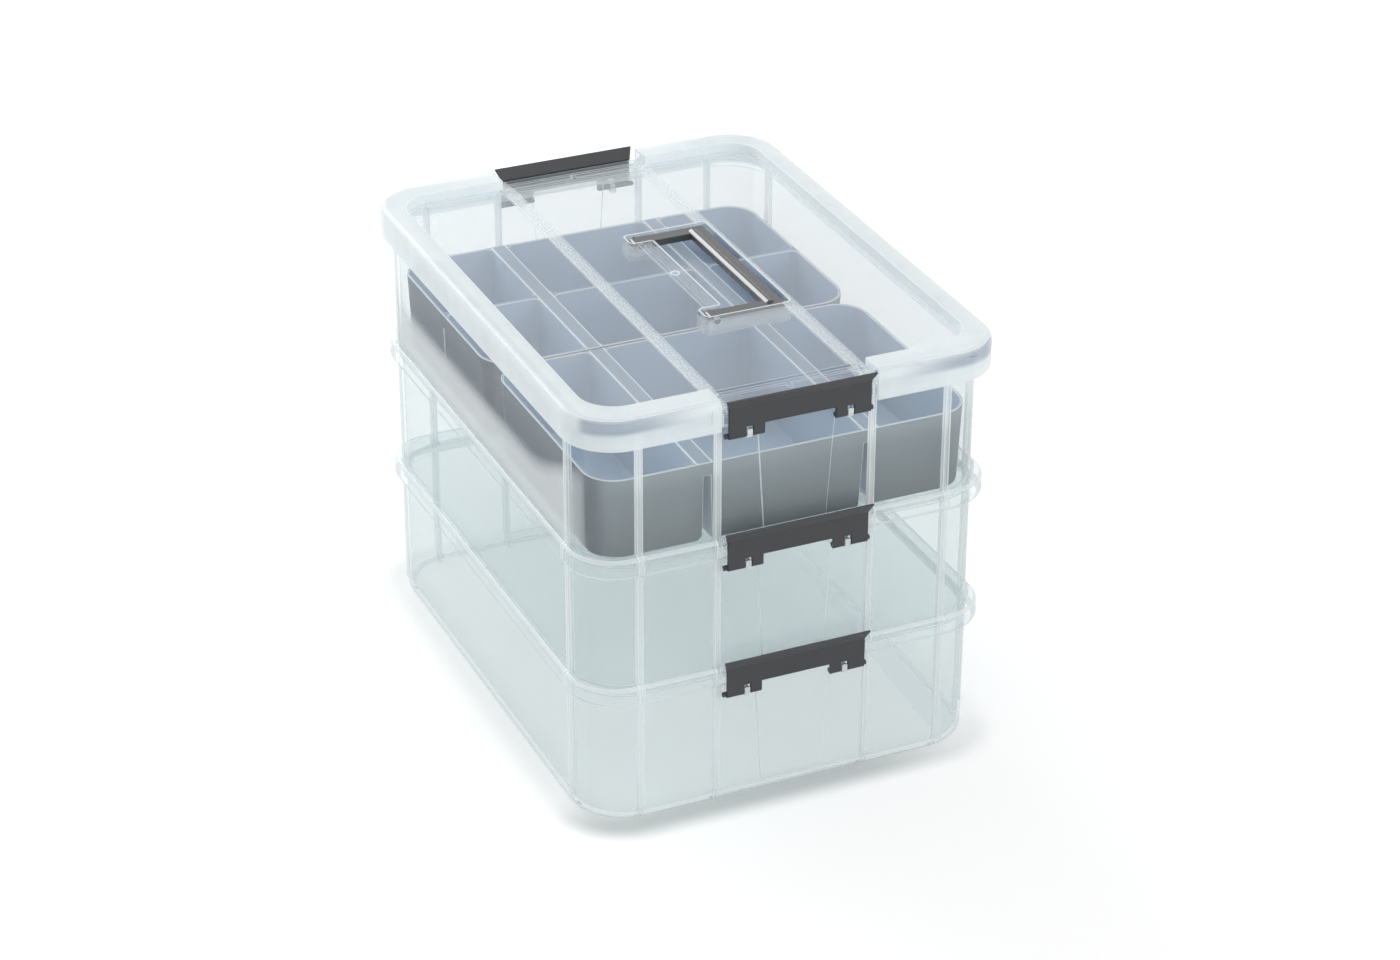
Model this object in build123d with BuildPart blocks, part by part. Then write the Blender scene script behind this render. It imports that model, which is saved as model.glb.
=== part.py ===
from build123d import *

import os
from math import atan, degrees

# Clear three-tier sewing box: three stacking boxes, a lid with a folding handle,
# six pull latches and two lift-out trays. Millimetres, +Z up, the front faces -Y,
# and the origin is the middle of the bottom box's base.

# Tier sizes
box_width = 260.8
box_length = 344.8
tier_pitch = 86.0
wall_corner = 36.0
wall = 2.0
floor = 2.0
wall_draft = 0.5
base_round = 3.5
floor_round = 5.0

# Rim of a tier
nest_depth = 8.5
nest_gap = 0.2
bead_height = 14.5
bead_proud = 3.3
bead_corner = 30.0
bead_top_round = 3.5
bead_low_round = 5.0

# Ribs and the raised panel on a tier's walls
rib_width = 4.0
rib_proud = 0.8
inner_rib_gap = 4.1
outer_rib_inset = 32.1
side_rib_inset = 31.4
panel_top_half = 25.0
panel_low_half = 20.0
panel_proud = 0.4

# Catch bar at the foot of a tier, and the rim notch that it drops into
catch_low = 4.0
catch_height = 2.8
catch_proud = 2.2
catch_overhang = 0.9
notch_gap = 0.5

# Latch
latch_half = 45.1
latch_flare = 2.4
latch_thickness = 2.0
latch_bead_gap = 0.8
latch_reach = 2.5
latch_lip_rise = 6.2
lip_edge = 1.0
lip_round = 0.7
bend_round = 2.0
nose_edge = 0.5
hook_gap = 0.3
nose_gap = 0.2
foot_inner = 22.5
foot_drop = 7.4
foot_round = 1.6
foot_sole = 0.2
pin_radius = 1.6
pin_drop = 10.2
pin_inset = 0.8
pin_overhang = 2.0
slot_place = 32.0
slot_width = 4.4
slot_height = 7.0

# Clips on a tier that hold the latch pins
clip_width = 3.4
clip_gap = 0.25
clip_thickness = 1.2
clip_mouth = 2.6
clip_tongue = 3.0

# Lid
lid_gap = 0.4
lid_skirt = 1.6
lid_front_extra = 0.6
lid_corner = 32.0
lid_skirt_drop = 14.5
lid_headroom = 3.0
lid_rim_thickness = 2.5
lid_top_round = 4.0
lid_low_round = 1.0
lid_panel = 2.0
panel_rise = 2.0
rim_band_side = 14.5
rim_band_front = 18.0
rim_inner_corner = 22.0
rim_inner_wall = 2.0
ledge_gap = 2.0
ledge_lap = 10.3
end_wall = 2.0
band_inset = 3.0
band_width = 8.0
band_proud = 0.4
nub_width = 3.0
nub_length = 6.0
nub_proud = 1.2
nub_inset = 2.0
cove_depth = 0.9
cove_height = 12.0
cove_block = 6.0
cove_spread = 6.0
cove_turn = 50.0

# Carrying handle and its pocket in the lid
handle_half = 61.5
handle_right = 45.5
arm_width = 8.5
arm_thickness = 4.5
arm_tail = 4.0
arm_round = 2.0
pivot_x = -0.6
grip_radius = 3.6
grip_flange = 6.5
handle_drop = 1.4
handle_pin_radius = 2.0
handle_pin_gap = 0.25
handle_pin_length = 2.8
pocket_gap = 1.5
pocket_end_gap = 2.2
pocket_inner = 8.0
pocket_depth = 11.0
pocket_wall = 1.8
pocket_round = 2.5
pocket_floor_round = 1.8

# Trays
tray_height = 52.0
tray_side_gap = 6.4
tray_end_gap = 7.0
tray_split = 2.0
tray_corner = 20.0
tray_wall = 1.6
tray_draft = 2.2
tray_base_round = 1.5
cup_half = 48.0
cup_strip = 10.5
cup_corner = 4.5
cup_round = 2.0
cup_slot = 4.0
cup_slot_flare = 3.0
row_divider = 3.0
row_slit = 1.0
row_web = 10.0
tray_apron = 9.0

# Worked-out places
half_x = box_width / 2
half_y = box_length / 2
rim_top = tier_pitch + nest_depth
bead_low = rim_top - bead_height
draft_angle = degrees(atan(wall_draft / tier_pitch))
notch_floor = tier_pitch + catch_low
inner_rib_place = latch_half + inner_rib_gap
outer_rib_place = half_x - outer_rib_inset
side_rib_place = half_y - side_rib_inset
catch_half = latch_half + catch_overhang
ledge_half = latch_half + latch_flare + ledge_gap
notch_half = max(catch_half, ledge_half) + notch_gap
catch_top = notch_floor + catch_height
pin_place = tier_pitch - pin_drop
top_base = 2 * tier_pitch
FRONT = -1
BACK = 1


def elevation_plane(side, offset):
    """Upright plane on the front or back, facing outwards, with local y up."""
    return Plane(origin=(0, side * offset, 0), x_dir=(-side, 0, 0), z_dir=(0, side, 0))


def section_plane(side, x):
    """Upright plane across the front or back wall: local x is outwards from the wall, local y is up."""
    return Plane(origin=(x, side * half_y, 0), x_dir=(0, side, 0), z_dir=(side, 0, 0))


def downward_plane(y, z):
    """Level plane that faces down."""
    return Plane(origin=(0, y, z), x_dir=(1, 0, 0), z_dir=(0, 0, -1))


def wall_outline(grow, corner):
    """Plan outline that stands outside the tier's wall by a margin."""
    RectangleRounded(box_width + 2 * grow, box_length + 2 * grow, corner)


# Latch places, in a tier's own frame: distances outwards from the wall, and heights
plate_in = bead_proud + latch_bead_gap
pin_out = plate_in - pin_inset
plate_out = plate_in + latch_thickness
hook_nose = catch_proud + nose_gap
hook_low = catch_top + hook_gap
plate_top = hook_low + lip_edge
lip_out = plate_out + latch_reach
lip_top = plate_top + latch_lip_rise
foot_low = pin_place - pin_radius - foot_sole
plate_low = foot_low + foot_drop

# Hollow of a tier, with its rounded floor
with BuildPart() as tier_hollow:
    with BuildSketch(Plane.XY.offset(floor)):
        wall_outline(-wall_draft - wall, wall_corner - wall_draft - wall)
    extrude(amount=tier_pitch - floor, taper=-draft_angle)
    fillet(tier_hollow.edges().group_by(Axis.Z)[0], floor_round)

# One tier
with BuildPart() as tier:
    # Rim bead, fuller at the corners because it turns them on a smaller radius than the wall
    with BuildSketch(Plane.XY.offset(bead_low)):
        wall_outline(bead_proud, bead_corner)
    extrude(amount=bead_height)
    fillet(tier.edges().group_by(Axis.Z)[-1], bead_top_round)
    fillet(tier.edges().group_by(Axis.Z)[0], bead_low_round)

    # Wall with its draft, on a rounded base
    with BuildSketch():
        wall_outline(-wall_draft, wall_corner - wall_draft)
    extrude(amount=tier_pitch, taper=-draft_angle)
    fillet(tier.edges().group_by(Axis.Z)[0], base_round)

    # Upright ribs on all four walls, and the raised panel under each latch
    rib_low = nest_depth + notch_gap
    rib_top = bead_low + bead_proud
    rib_middle = (rib_low + rib_top) / 2
    for side in (FRONT, BACK):
        with BuildSketch(elevation_plane(side, half_y + rib_proud)):
            with GridLocations(x_spacing=2 * inner_rib_place, y_spacing=0, x_count=2, y_count=1):
                with Locations((0, rib_middle)):
                    Rectangle(rib_width, rib_top - rib_low)
            with GridLocations(x_spacing=2 * outer_rib_place, y_spacing=0, x_count=2, y_count=1):
                with Locations((0, rib_middle)):
                    Rectangle(rib_width, rib_top - rib_low)
        extrude(amount=-(rib_proud + wall))
        with BuildSketch(elevation_plane(side, half_y + panel_proud)):
            with BuildLine():
                Polyline(
                    (-panel_low_half, rib_low),
                    (panel_low_half, rib_low),
                    (panel_top_half, rib_top),
                    (-panel_top_half, rib_top),
                    close=True,
                )
            make_face()
        extrude(amount=-(panel_proud + wall))
    for side in (-1, 1):
        side_wall = Plane(origin=(side * (half_x + rib_proud), 0, 0), x_dir=(0, side, 0), z_dir=(side, 0, 0))
        with BuildSketch(side_wall):
            with GridLocations(x_spacing=2 * side_rib_place, y_spacing=0, x_count=2, y_count=1):
                with Locations((0, rib_middle)):
                    Rectangle(rib_width, rib_top - rib_low)
        extrude(amount=-(rib_proud + wall))

    # Catch bar at the foot, front and back
    for side in (FRONT, BACK):
        with BuildSketch(elevation_plane(side, half_y + catch_proud)):
            with Locations((0, catch_low + catch_height / 2)):
                Rectangle(2 * catch_half, catch_height)
        extrude(amount=-(catch_proud + wall + wall_draft))

    # Clips that hold the latch pins
    clip_inner = pin_radius + clip_gap
    clip_outer = clip_inner + clip_thickness
    for side in (FRONT, BACK):
        for x in (-slot_place, slot_place):
            with BuildSketch(section_plane(side, x)):
                with Locations((pin_out, pin_place)):
                    Circle(clip_outer)
                    Rectangle(pin_out + wall, clip_outer, align=(Align.MAX, Align.MAX))
                with Locations((pin_out + clip_inner, pin_place)):
                    Rectangle(clip_thickness, clip_tongue, align=(Align.MIN, Align.MIN))
                with Locations((pin_out, pin_place)):
                    Circle(clip_inner, mode=Mode.SUBTRACT)
                    Rectangle(clip_mouth, 2 * clip_outer, align=(Align.CENTER, Align.MIN), mode=Mode.SUBTRACT)
            extrude(amount=clip_width / 2, both=True)

    # Hollow inside
    add(tier_hollow.part, mode=Mode.SUBTRACT)

    # Recess in the rim that takes the foot of the tier above
    with BuildSketch(Plane.XY.offset(tier_pitch)):
        wall_outline(nest_gap, wall_corner + nest_gap)
    extrude(amount=nest_depth, mode=Mode.SUBTRACT)

    # Notch in the rim for the catch bar, front and back
    for side in (FRONT, BACK):
        with BuildSketch(elevation_plane(side, half_y + bead_proud)):
            with Locations((0, notch_floor)):
                Rectangle(2 * notch_half, rim_top - notch_floor, align=(Align.CENTER, Align.MIN))
        extrude(amount=-(bead_proud + wall), mode=Mode.SUBTRACT)

# One latch, on the front of the bottom tier
with BuildPart() as latch:
    # Side profile: upright plate, outward lip and the nose over the catch bar
    with BuildSketch(section_plane(FRONT, 0)) as latch_profile:
        with BuildLine():
            Polyline(
                (plate_in, foot_low),
                (plate_out, foot_low),
                (plate_out, plate_top),
                (lip_out, lip_top - lip_edge),
                (lip_out - lip_edge, lip_top),
                (hook_nose, hook_low + nose_edge),
                (hook_nose, hook_low),
                (plate_in, hook_low - lip_edge),
                close=True,
            )
        make_face()
        fillet(latch_profile.vertices().sort_by_distance((plate_out, plate_top))[0], bend_round)
        fillet(latch_profile.vertices().sort_by(Axis.Y)[-2:], lip_round)
    extrude(amount=latch_half + latch_flare, both=True)
    fillet(latch.edges().filter_by(Axis.X).group_by(Axis.Z)[0].sort_by(Axis.Y)[0], foot_round)

    # Front outline: flared top corners, two slotted feet
    with BuildSketch(elevation_plane(FRONT, half_y + lip_out)):
        with BuildLine():
            Polyline(
                (-latch_half, foot_low),
                (-foot_inner, foot_low),
                (-foot_inner, plate_low),
                (foot_inner, plate_low),
                (foot_inner, foot_low),
                (latch_half, foot_low),
                (latch_half, plate_top),
                (latch_half + latch_flare, lip_top - lip_edge),
                (latch_half + latch_flare, lip_top),
                (-latch_half - latch_flare, lip_top),
                (-latch_half - latch_flare, lip_top - lip_edge),
                (-latch_half, plate_top),
                close=True,
            )
        make_face()
        with GridLocations(x_spacing=2 * slot_place, y_spacing=0, x_count=2, y_count=1):
            with Locations((0, foot_low)):
                Rectangle(
                    slot_width, slot_height, align=(Align.CENTER, Align.MIN), mode=Mode.SUBTRACT
                )
    extrude(amount=-(lip_out - hook_nose), mode=Mode.INTERSECT)

    # Pins moulded along the feet
    for side in (-1, 1):
        pin_length = latch_half + pin_overhang - foot_inner
        pin_start = Plane(
            origin=(side * foot_inner, -half_y - pin_out, pin_place), x_dir=(0, 1, 0), z_dir=(side, 0, 0)
        )
        with BuildSketch(pin_start):
            Circle(pin_radius)
        extrude(amount=pin_length)

# Lid heights and reaches
lid_low = top_base + rim_top - lid_skirt_drop
rim_ceiling = top_base + rim_top + lid_headroom
lid_top = rim_ceiling + lid_rim_thickness
ledge_low = top_base + notch_floor
panel_low = ledge_low + panel_rise
panel_high = panel_low + lid_panel
ledge_top = top_base + catch_top
skirt_inner = bead_proud + lid_gap
lid_width = box_width + 2 * (skirt_inner + lid_skirt)
lid_length = box_length + 2 * (skirt_inner + lid_skirt + lid_front_extra)
rim_in_x = lid_width / 2 - rim_band_side
rim_in_y = lid_length / 2 - rim_band_front
ledge_inner = rim_in_y - ledge_lap
nub_place = rim_in_y + nub_inset
band_place = ledge_half - band_inset

# Handle places
arm_top = panel_high - handle_drop
arm_low = arm_top - arm_thickness
pivot_z = arm_low + arm_thickness / 2
arm_left = pivot_x - arm_tail
pocket_half = handle_half + pocket_gap
pocket_left = arm_left - pocket_end_gap
pocket_right = handle_right + pocket_end_gap
pocket_floor = panel_high - pocket_depth
grip_x = handle_right - grip_flange - grip_radius / 2
grip_z = arm_top + handle_drop - grip_radius


def make_pocket(grow, top):
    """Handle pocket as a solid with rounded corners and floor edges, grown by a margin."""
    arm_pocket_inner = handle_half - arm_width - pocket_gap
    with BuildPart() as pocket:
        with BuildSketch(Plane.XY.offset(pocket_floor - grow)):
            with BuildLine():
                Polyline(
                    (pocket_left - grow, -pocket_half - grow),
                    (pocket_right + grow, -pocket_half - grow),
                    (pocket_right + grow, pocket_half + grow),
                    (pocket_left - grow, pocket_half + grow),
                    (pocket_left - grow, arm_pocket_inner - grow),
                    (pocket_inner - grow, arm_pocket_inner - grow),
                    (pocket_inner - grow, -arm_pocket_inner + grow),
                    (pocket_left - grow, -arm_pocket_inner + grow),
                    close=True,
                )
            make_face()
        extrude(amount=top - pocket_floor + grow)
        fillet(pocket.edges().filter_by(Axis.Z), pocket_round)
        fillet(pocket.edges().group_by(Axis.Z)[0], pocket_floor_round)
    return pocket.part


# Lid
with BuildPart() as lid:
    # Outer form
    with BuildSketch(Plane.XY.offset(lid_low)):
        RectangleRounded(lid_width, lid_length, lid_corner)
    extrude(amount=lid_top - lid_low)
    fillet(lid.edges().group_by(Axis.Z)[-1], lid_top_round)
    fillet(lid.edges().group_by(Axis.Z)[0], lid_low_round)

    # Cove under the front and back edges, fading as it turns the corners
    cove_radius = (cove_height**2 / 4 + cove_depth**2) / (2 * cove_depth)
    cove_axis_out = lid_length / 2 - cove_depth + cove_radius
    cove_z = (lid_low + lid_top) / 2
    cove_start = ledge_half + cove_block
    cove_tangent = lid_width / 2 - lid_corner
    for side in (FRONT, BACK):
        for end in (-1, 1):
            with BuildLine() as cove_path:
                cove_run = Line(
                    (end * cove_start, side * lid_length / 2, cove_z),
                    (end * cove_tangent, side * lid_length / 2, cove_z),
                )
                JernArc(
                    cove_run @ 1,
                    (end, 0, 0),
                    lid_corner + cove_spread,
                    -end * side * cove_turn,
                )
            with BuildSketch(Plane(origin=cove_run @ 0, x_dir=(0, side, 0), z_dir=(end, 0, 0))):
                with Locations((cove_radius - cove_depth, 0)):
                    Circle(cove_radius)
                    Rectangle(
                        2 * cove_radius,
                        2 * cove_radius,
                        align=(Align.MIN, Align.CENTER),
                        mode=Mode.SUBTRACT,
                    )
            sweep(path=cove_path.line, mode=Mode.SUBTRACT)

    # Hollow underside, and the channel that covers the rim of the top tier
    with BuildSketch(Plane.XY.offset(lid_low)):
        wall_outline(skirt_inner, bead_corner + lid_gap)
    extrude(amount=panel_low - lid_low, mode=Mode.SUBTRACT)
    with BuildSketch(Plane.XY.offset(panel_low)):
        wall_outline(skirt_inner, bead_corner + lid_gap)
        RectangleRounded(
            2 * (rim_in_x + rim_inner_wall),
            2 * (rim_in_y + rim_inner_wall),
            rim_inner_corner + rim_inner_wall,
            mode=Mode.SUBTRACT,
        )
    extrude(amount=rim_ceiling - panel_low, mode=Mode.SUBTRACT)

    # Sunk panel inside the rim
    with BuildSketch(Plane.XY.offset(panel_high)):
        RectangleRounded(2 * rim_in_x, 2 * rim_in_y, rim_inner_corner)
    extrude(amount=lid_top - panel_high, mode=Mode.SUBTRACT)

    # Gap in the rim for each latch, with the ledge that it closes over
    for side in (FRONT, BACK):
        with BuildSketch(elevation_plane(side, lid_length / 2)):
            with Locations((0, lid_low)):
                Rectangle(2 * ledge_half, lid_top - lid_low, align=(Align.CENTER, Align.MIN))
        extrude(amount=-(lid_length / 2 - rim_in_y), mode=Mode.SUBTRACT)
        with BuildSketch(elevation_plane(side, half_y + catch_proud)):
            with Locations((0, ledge_low)):
                Rectangle(2 * ledge_half, catch_height, align=(Align.CENTER, Align.MIN))
        extrude(amount=-(half_y + catch_proud - ledge_inner))
        for end in (-1, 1):
            with BuildSketch(elevation_plane(side, half_y - wall - notch_gap)):
                with Locations((end * (ledge_half + end_wall / 2), ledge_low)):
                    Rectangle(end_wall, lid_top - ledge_low, align=(Align.CENTER, Align.MIN))
            extrude(amount=-(half_y - wall - notch_gap - rim_in_y))
        with BuildSketch(Plane.XY.offset(ledge_top)):
            with Locations((0, side * nub_place)):
                SlotOverall(nub_length, nub_width, rotation=90)
        extrude(amount=nub_proud)

    # Raised bands from front to back
    with BuildSketch(Plane.XY.offset(panel_high)):
        with GridLocations(x_spacing=2 * band_place, y_spacing=0, x_count=2, y_count=1):
            Rectangle(band_width, 2 * ledge_inner)
    extrude(amount=band_proud)

    # Handle pocket
    add(make_pocket(pocket_wall, panel_high))
    add(make_pocket(0, panel_high + band_proud), mode=Mode.SUBTRACT)
    with BuildSketch(elevation_plane(BACK, pocket_half + pocket_wall)):
        with Locations((-pivot_x, pivot_z)):
            Circle(handle_pin_radius + handle_pin_gap)
    extrude(amount=-2 * (pocket_half + pocket_wall), mode=Mode.SUBTRACT)

# Carrying handle, folded flat
with BuildPart() as handle:
    # Arms, and the flange along the grip
    with BuildSketch(Plane.XY.offset(arm_low)):
        with Locations((arm_left, 0)):
            Rectangle(handle_right - arm_left, 2 * handle_half, align=(Align.MIN, Align.CENTER))
            Rectangle(
                handle_right - grip_flange - arm_left,
                2 * (handle_half - arm_width),
                align=(Align.MIN, Align.CENTER),
                mode=Mode.SUBTRACT,
            )
    extrude(amount=arm_thickness)
    fillet(handle.edges().filter_by(Axis.Y).group_by(Axis.X)[0], arm_round)

    # Round grip between the arms
    with BuildSketch(elevation_plane(FRONT, handle_half - arm_width / 2)):
        with Locations((grip_x, grip_z)):
            Circle(grip_radius)
    extrude(amount=-2 * (handle_half - arm_width / 2))

    # Pivot pins
    with BuildSketch(elevation_plane(FRONT, handle_half + handle_pin_length)):
        with Locations((pivot_x, pivot_z)):
            Circle(handle_pin_radius)
    extrude(amount=-(handle_pin_length + arm_width))
    with BuildSketch(elevation_plane(BACK, handle_half + handle_pin_length)):
        with Locations((-pivot_x, pivot_z)):
            Circle(handle_pin_radius)
    extrude(amount=-(handle_pin_length + arm_width))

# Tray sizes
inner_half_x = half_x - wall_draft - wall
inner_half_y = half_y - wall_draft - wall
tray_width = 2 * (inner_half_x - tray_side_gap)
tray_depth = inner_half_y - tray_end_gap - tray_split / 2
tray_base = top_base + floor
tray_top = tray_base + tray_height
tray_angle = degrees(atan(tray_draft / tray_height))
tray_middle = (tray_split + tray_depth) / 2
side_cup = tray_width / 2 - tray_wall - cup_half - cup_strip
side_cup_place = cup_half + cup_strip + side_cup / 2


def make_tray(side, rows):
    """Tray of three columns of cups, on the front or the back half of the top tier's floor."""
    middle = side * tray_middle
    row_depth = (tray_depth - 2 * tray_wall - (rows - 1) * row_divider) / rows

    # Hollows of the cups, narrowing downwards to rounded floors
    cup_places = ((-side_cup_place, side_cup), (0, 2 * cup_half), (side_cup_place, side_cup))
    with BuildPart() as cups:
        with BuildSketch(downward_plane(middle, tray_top)):
            for x, width in cup_places:
                with Locations((x, 0)):
                    with GridLocations(x_spacing=0, y_spacing=row_depth + row_divider, x_count=1, y_count=rows):
                        RectangleRounded(width, row_depth, cup_corner)
            RectangleRounded(
                tray_width - 2 * tray_wall,
                tray_depth - 2 * tray_wall,
                tray_corner - tray_wall,
                mode=Mode.INTERSECT,
            )
        extrude(amount=tray_height - tray_wall, taper=tray_angle)
        fillet(cups.edges().group_by(Axis.Z)[0], cup_round)

    # Hollows under the strips between the columns, within the tray's skin
    gap_top = cup_strip - 2 * tray_wall
    gap_low = gap_top + 2 * tray_draft
    with BuildPart() as gaps:
        with BuildSketch(Plane.XZ.offset(tray_depth / 2 - middle)):
            for x in (-cup_half - cup_strip / 2, cup_half + cup_strip / 2):
                with BuildLine():
                    Polyline(
                        (x - gap_low / 2, tray_base),
                        (x + gap_low / 2, tray_base),
                        (x + gap_top / 2, tray_top - tray_wall),
                        (x - gap_top / 2, tray_top - tray_wall),
                        close=True,
                    )
                make_face()
        extrude(amount=-tray_depth)
        with BuildSketch(downward_plane(middle, tray_top)):
            RectangleRounded(tray_width - 2 * tray_wall, tray_depth - 2 * tray_wall, tray_corner - tray_wall)
        extrude(amount=tray_height, taper=tray_angle, mode=Mode.INTERSECT)

    with BuildPart() as tray:
        # Outer form, narrowing downwards
        with BuildSketch(downward_plane(middle, tray_top)):
            RectangleRounded(tray_width, tray_depth, tray_corner)
        extrude(amount=tray_height, taper=tray_angle)
        fillet(tray.edges().group_by(Axis.Z)[0], tray_base_round)
        add(gaps.part, mode=Mode.SUBTRACT)

        # Slots through the skin below its apron, so that each column is its own cup
        slot_inner = cup_half + tray_wall
        slot_outer = slot_inner + cup_slot
        slot_top = tray_top - tray_apron
        with BuildSketch(Plane.XZ.offset(tray_depth / 2 - middle)):
            for end in (-1, 1):
                with BuildLine():
                    Polyline(
                        (end * (slot_inner - tray_draft), tray_base),
                        (end * (slot_outer + cup_slot_flare), tray_base),
                        (end * slot_outer, tray_base + cup_slot_flare),
                        (end * slot_outer, slot_top),
                        (end * (slot_inner - tray_draft * tray_apron / tray_height), slot_top),
                        close=True,
                    )
                make_face()
        extrude(amount=-tray_depth, mode=Mode.SUBTRACT)

        # Slit under the divider between two rows
        if rows == 2:
            with BuildSketch(Plane.YZ.offset(-tray_width / 2)):
                with BuildLine():
                    Polyline(
                        (middle - tray_draft, tray_base),
                        (middle + tray_draft, tray_base),
                        (middle + row_slit / 2, tray_top - row_web),
                        (middle - row_slit / 2, tray_top - row_web),
                        close=True,
                    )
                make_face()
            extrude(amount=tray_width, mode=Mode.SUBTRACT)

        add(cups.part, mode=Mode.SUBTRACT)
    return tray.part


# Pieces in their places
pieces = {"lid": lid.part, "carry_handle": handle.part}
pieces["back_tray"] = make_tray(BACK, 2)
pieces["front_tray"] = make_tray(FRONT, 1)
for level, tier_name in enumerate(("bottom", "middle", "top")):
    lift = Pos(0, 0, level * tier_pitch)
    pieces[f"{tier_name}_box"] = tier.part.moved(lift)
    pieces[f"{tier_name}_front_latch"] = latch.part.moved(lift)
    pieces[f"{tier_name}_back_latch"] = latch.part.moved(lift * Rot(0, 0, 180))

os.makedirs("parts", exist_ok=True)
for piece_name, piece in pieces.items():
    piece.label = piece_name
    export_step(piece, f"parts/{piece_name}.step")
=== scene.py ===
import math

import bmesh
import bpy
from bpy.props import FloatProperty, FloatVectorProperty, PointerProperty
from mathutils import Matrix, Vector


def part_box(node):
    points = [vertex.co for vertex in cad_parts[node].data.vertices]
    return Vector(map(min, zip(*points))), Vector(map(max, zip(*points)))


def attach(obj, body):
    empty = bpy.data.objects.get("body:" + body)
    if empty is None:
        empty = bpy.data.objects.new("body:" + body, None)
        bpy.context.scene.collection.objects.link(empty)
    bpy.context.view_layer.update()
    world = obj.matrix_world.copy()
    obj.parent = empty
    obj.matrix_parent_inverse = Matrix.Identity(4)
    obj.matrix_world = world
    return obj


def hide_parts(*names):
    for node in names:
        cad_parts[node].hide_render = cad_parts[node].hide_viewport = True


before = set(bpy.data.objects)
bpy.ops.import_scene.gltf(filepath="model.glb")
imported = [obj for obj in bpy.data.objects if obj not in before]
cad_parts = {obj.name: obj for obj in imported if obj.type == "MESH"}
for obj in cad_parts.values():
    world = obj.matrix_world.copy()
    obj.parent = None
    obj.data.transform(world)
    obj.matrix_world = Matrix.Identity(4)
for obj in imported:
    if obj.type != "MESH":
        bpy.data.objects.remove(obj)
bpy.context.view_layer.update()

bl_info = {
    "name": "Stacking sewing box",
    "version": (1, 0, 0),
    "blender": (4, 5, 0),
    "location": "View3D > Sidebar > Sewing Box",
    "description": "Finishes for a clear stacking sewing box with latches, a carry handle and trays",
    "category": "Object",
}

WHITE = (1.0, 1.0, 1.0, 1.0)
MM = 0.001

# Names in the frame
TIERS = ("bottom", "middle", "top")
SIDES = ("front", "back")

# Soft border of a sharp mark on a finish
CRISP = 0.2 * MM

# Shares of sheen, haze and glow in the clear plastic
SHEEN_LEAST = 0.012
SHEEN_RISE = 0.2
SHEEN_POWER = 5
SHADOW_HAZE = 0.35
MILK_GLOW = 0.3

# Slopes of a surface, from 0 where it is upright to 1 where it is level
UPRIGHT_FULL = 0.3
UPRIGHT_END = 0.45
TURN_LOW = 0.3
TURN_HIGH = 0.88
TURN_SOFT = 0.08
BELOW_START = 0.4
BELOW_FULL = 0.6
OUTER_FULL = 0.72
OUTER_END = 0.8
RIDGE_LOW = 0.78
RIDGE_HIGH = 0.9
RIDGE_SOFT = 0.06
LEVEL_START = 0.9
LEVEL_FULL = 0.97

# Places on the boxes
FLOOR_LEVEL = 0
RIM_LOW = 80 * MM
FOOT_ROUND = 3.5 * MM
FRONT_WALL = 166 * MM
SIDE_WALL = 124 * MM
INNER_RIB = 49.2 * MM
OUTER_RIB = 98.3 * MM
SIDE_RIB = 141 * MM
RIB_HALF = 1.9 * MM
RIB_CORE = 0.8 * MM
RIB_EDGE = 1.5 * MM
CLIP_MIDDLE = 32 * MM
CLIP_HALF = 2 * MM
CLIP_PLACE = 172.7 * MM
CLIP_LOW = 71 * MM
CLIP_HIGH = 80 * MM
CLIP_SOFT = 0.5 * MM
# Reach of the painted reflection low on the top box's left wall
PAINTED_SHEEN_TOP = 36 * MM
PAINTED_SHEEN_RISE = 24 * MM
PAINTED_SHEEN_RISE_START = 80 * MM
PAINTED_SHEEN_RISE_END = 165 * MM
PAINTED_SHEEN_SOFT = 9 * MM

# Places on the lid, with heights measured down from its top
LID_BAND_SIDE = 14.5 * MM
LID_BAND_FRONT = 18 * MM
LID_INNER_CORNER = 22 * MM
LID_BORDER = 0.4 * MM
LEDGE_HALF = 49.5 * MM
COVE_LOW = 15.5 * MM
COVE_END = 55 * MM
COVE_DEPTH = 6 * MM
COVE_SHADE_LOW = 7.5 * MM
COVE_SHADE_HIGH = 2.2 * MM
COVE_SHADE_SOFT = 4 * MM
COVE_FADE_START = 60 * MM
COVE_FADE_END = 105 * MM
COVE_EDGE_LOW = 17 * MM
COVE_EDGE_HIGH = 3 * MM
LID_BAND = 46.5 * MM
LID_BAND_HALF = 3.9 * MM
LID_SINK = 6 * MM
PANEL_BACK = 8.2 * MM

# Places of the handle's pocket and of the ring left by the mould
POCKET_HALF = 63 * MM
POCKET_MIDDLE = 27.85 * MM
POCKET_HALF_WIDTH = 19.85 * MM
POCKET_ROUND = 2.5 * MM
POCKET_WALL = 2 * MM
POCKET_WALL_SOFT = 0.5 * MM
POCKET_LIP = 1.3 * MM
POCKET_LIP_SOFT = 0.3 * MM
HOOK_MIDDLE = 20.45 * MM
HOOK_HALF_WIDTH = 27.25 * MM
HOOK_INNER = 51.5 * MM
HOOK_PLACE = 57.25 * MM
HOOK_HALF = 5.75 * MM
RING_X = 0.3 * MM
RING_Y = 0.6 * MM
RING_RADIUS = 2.6 * MM
RING_THICKNESS = 0.6 * MM
RING_SIDES = 10
RING_STEPS = 36

# Places on the trays
TRAY_CORNER = 20 * MM
TRAY_DRAFT = 2.2 * MM
TRAY_SKIN = 1.2 * MM
TRAY_TOP = 0.6 * MM
STRIP_MIDDLE = 53.25 * MM
STRIP_HALF = 5.25 * MM
STRIP_LINE = 1.1 * MM
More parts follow.
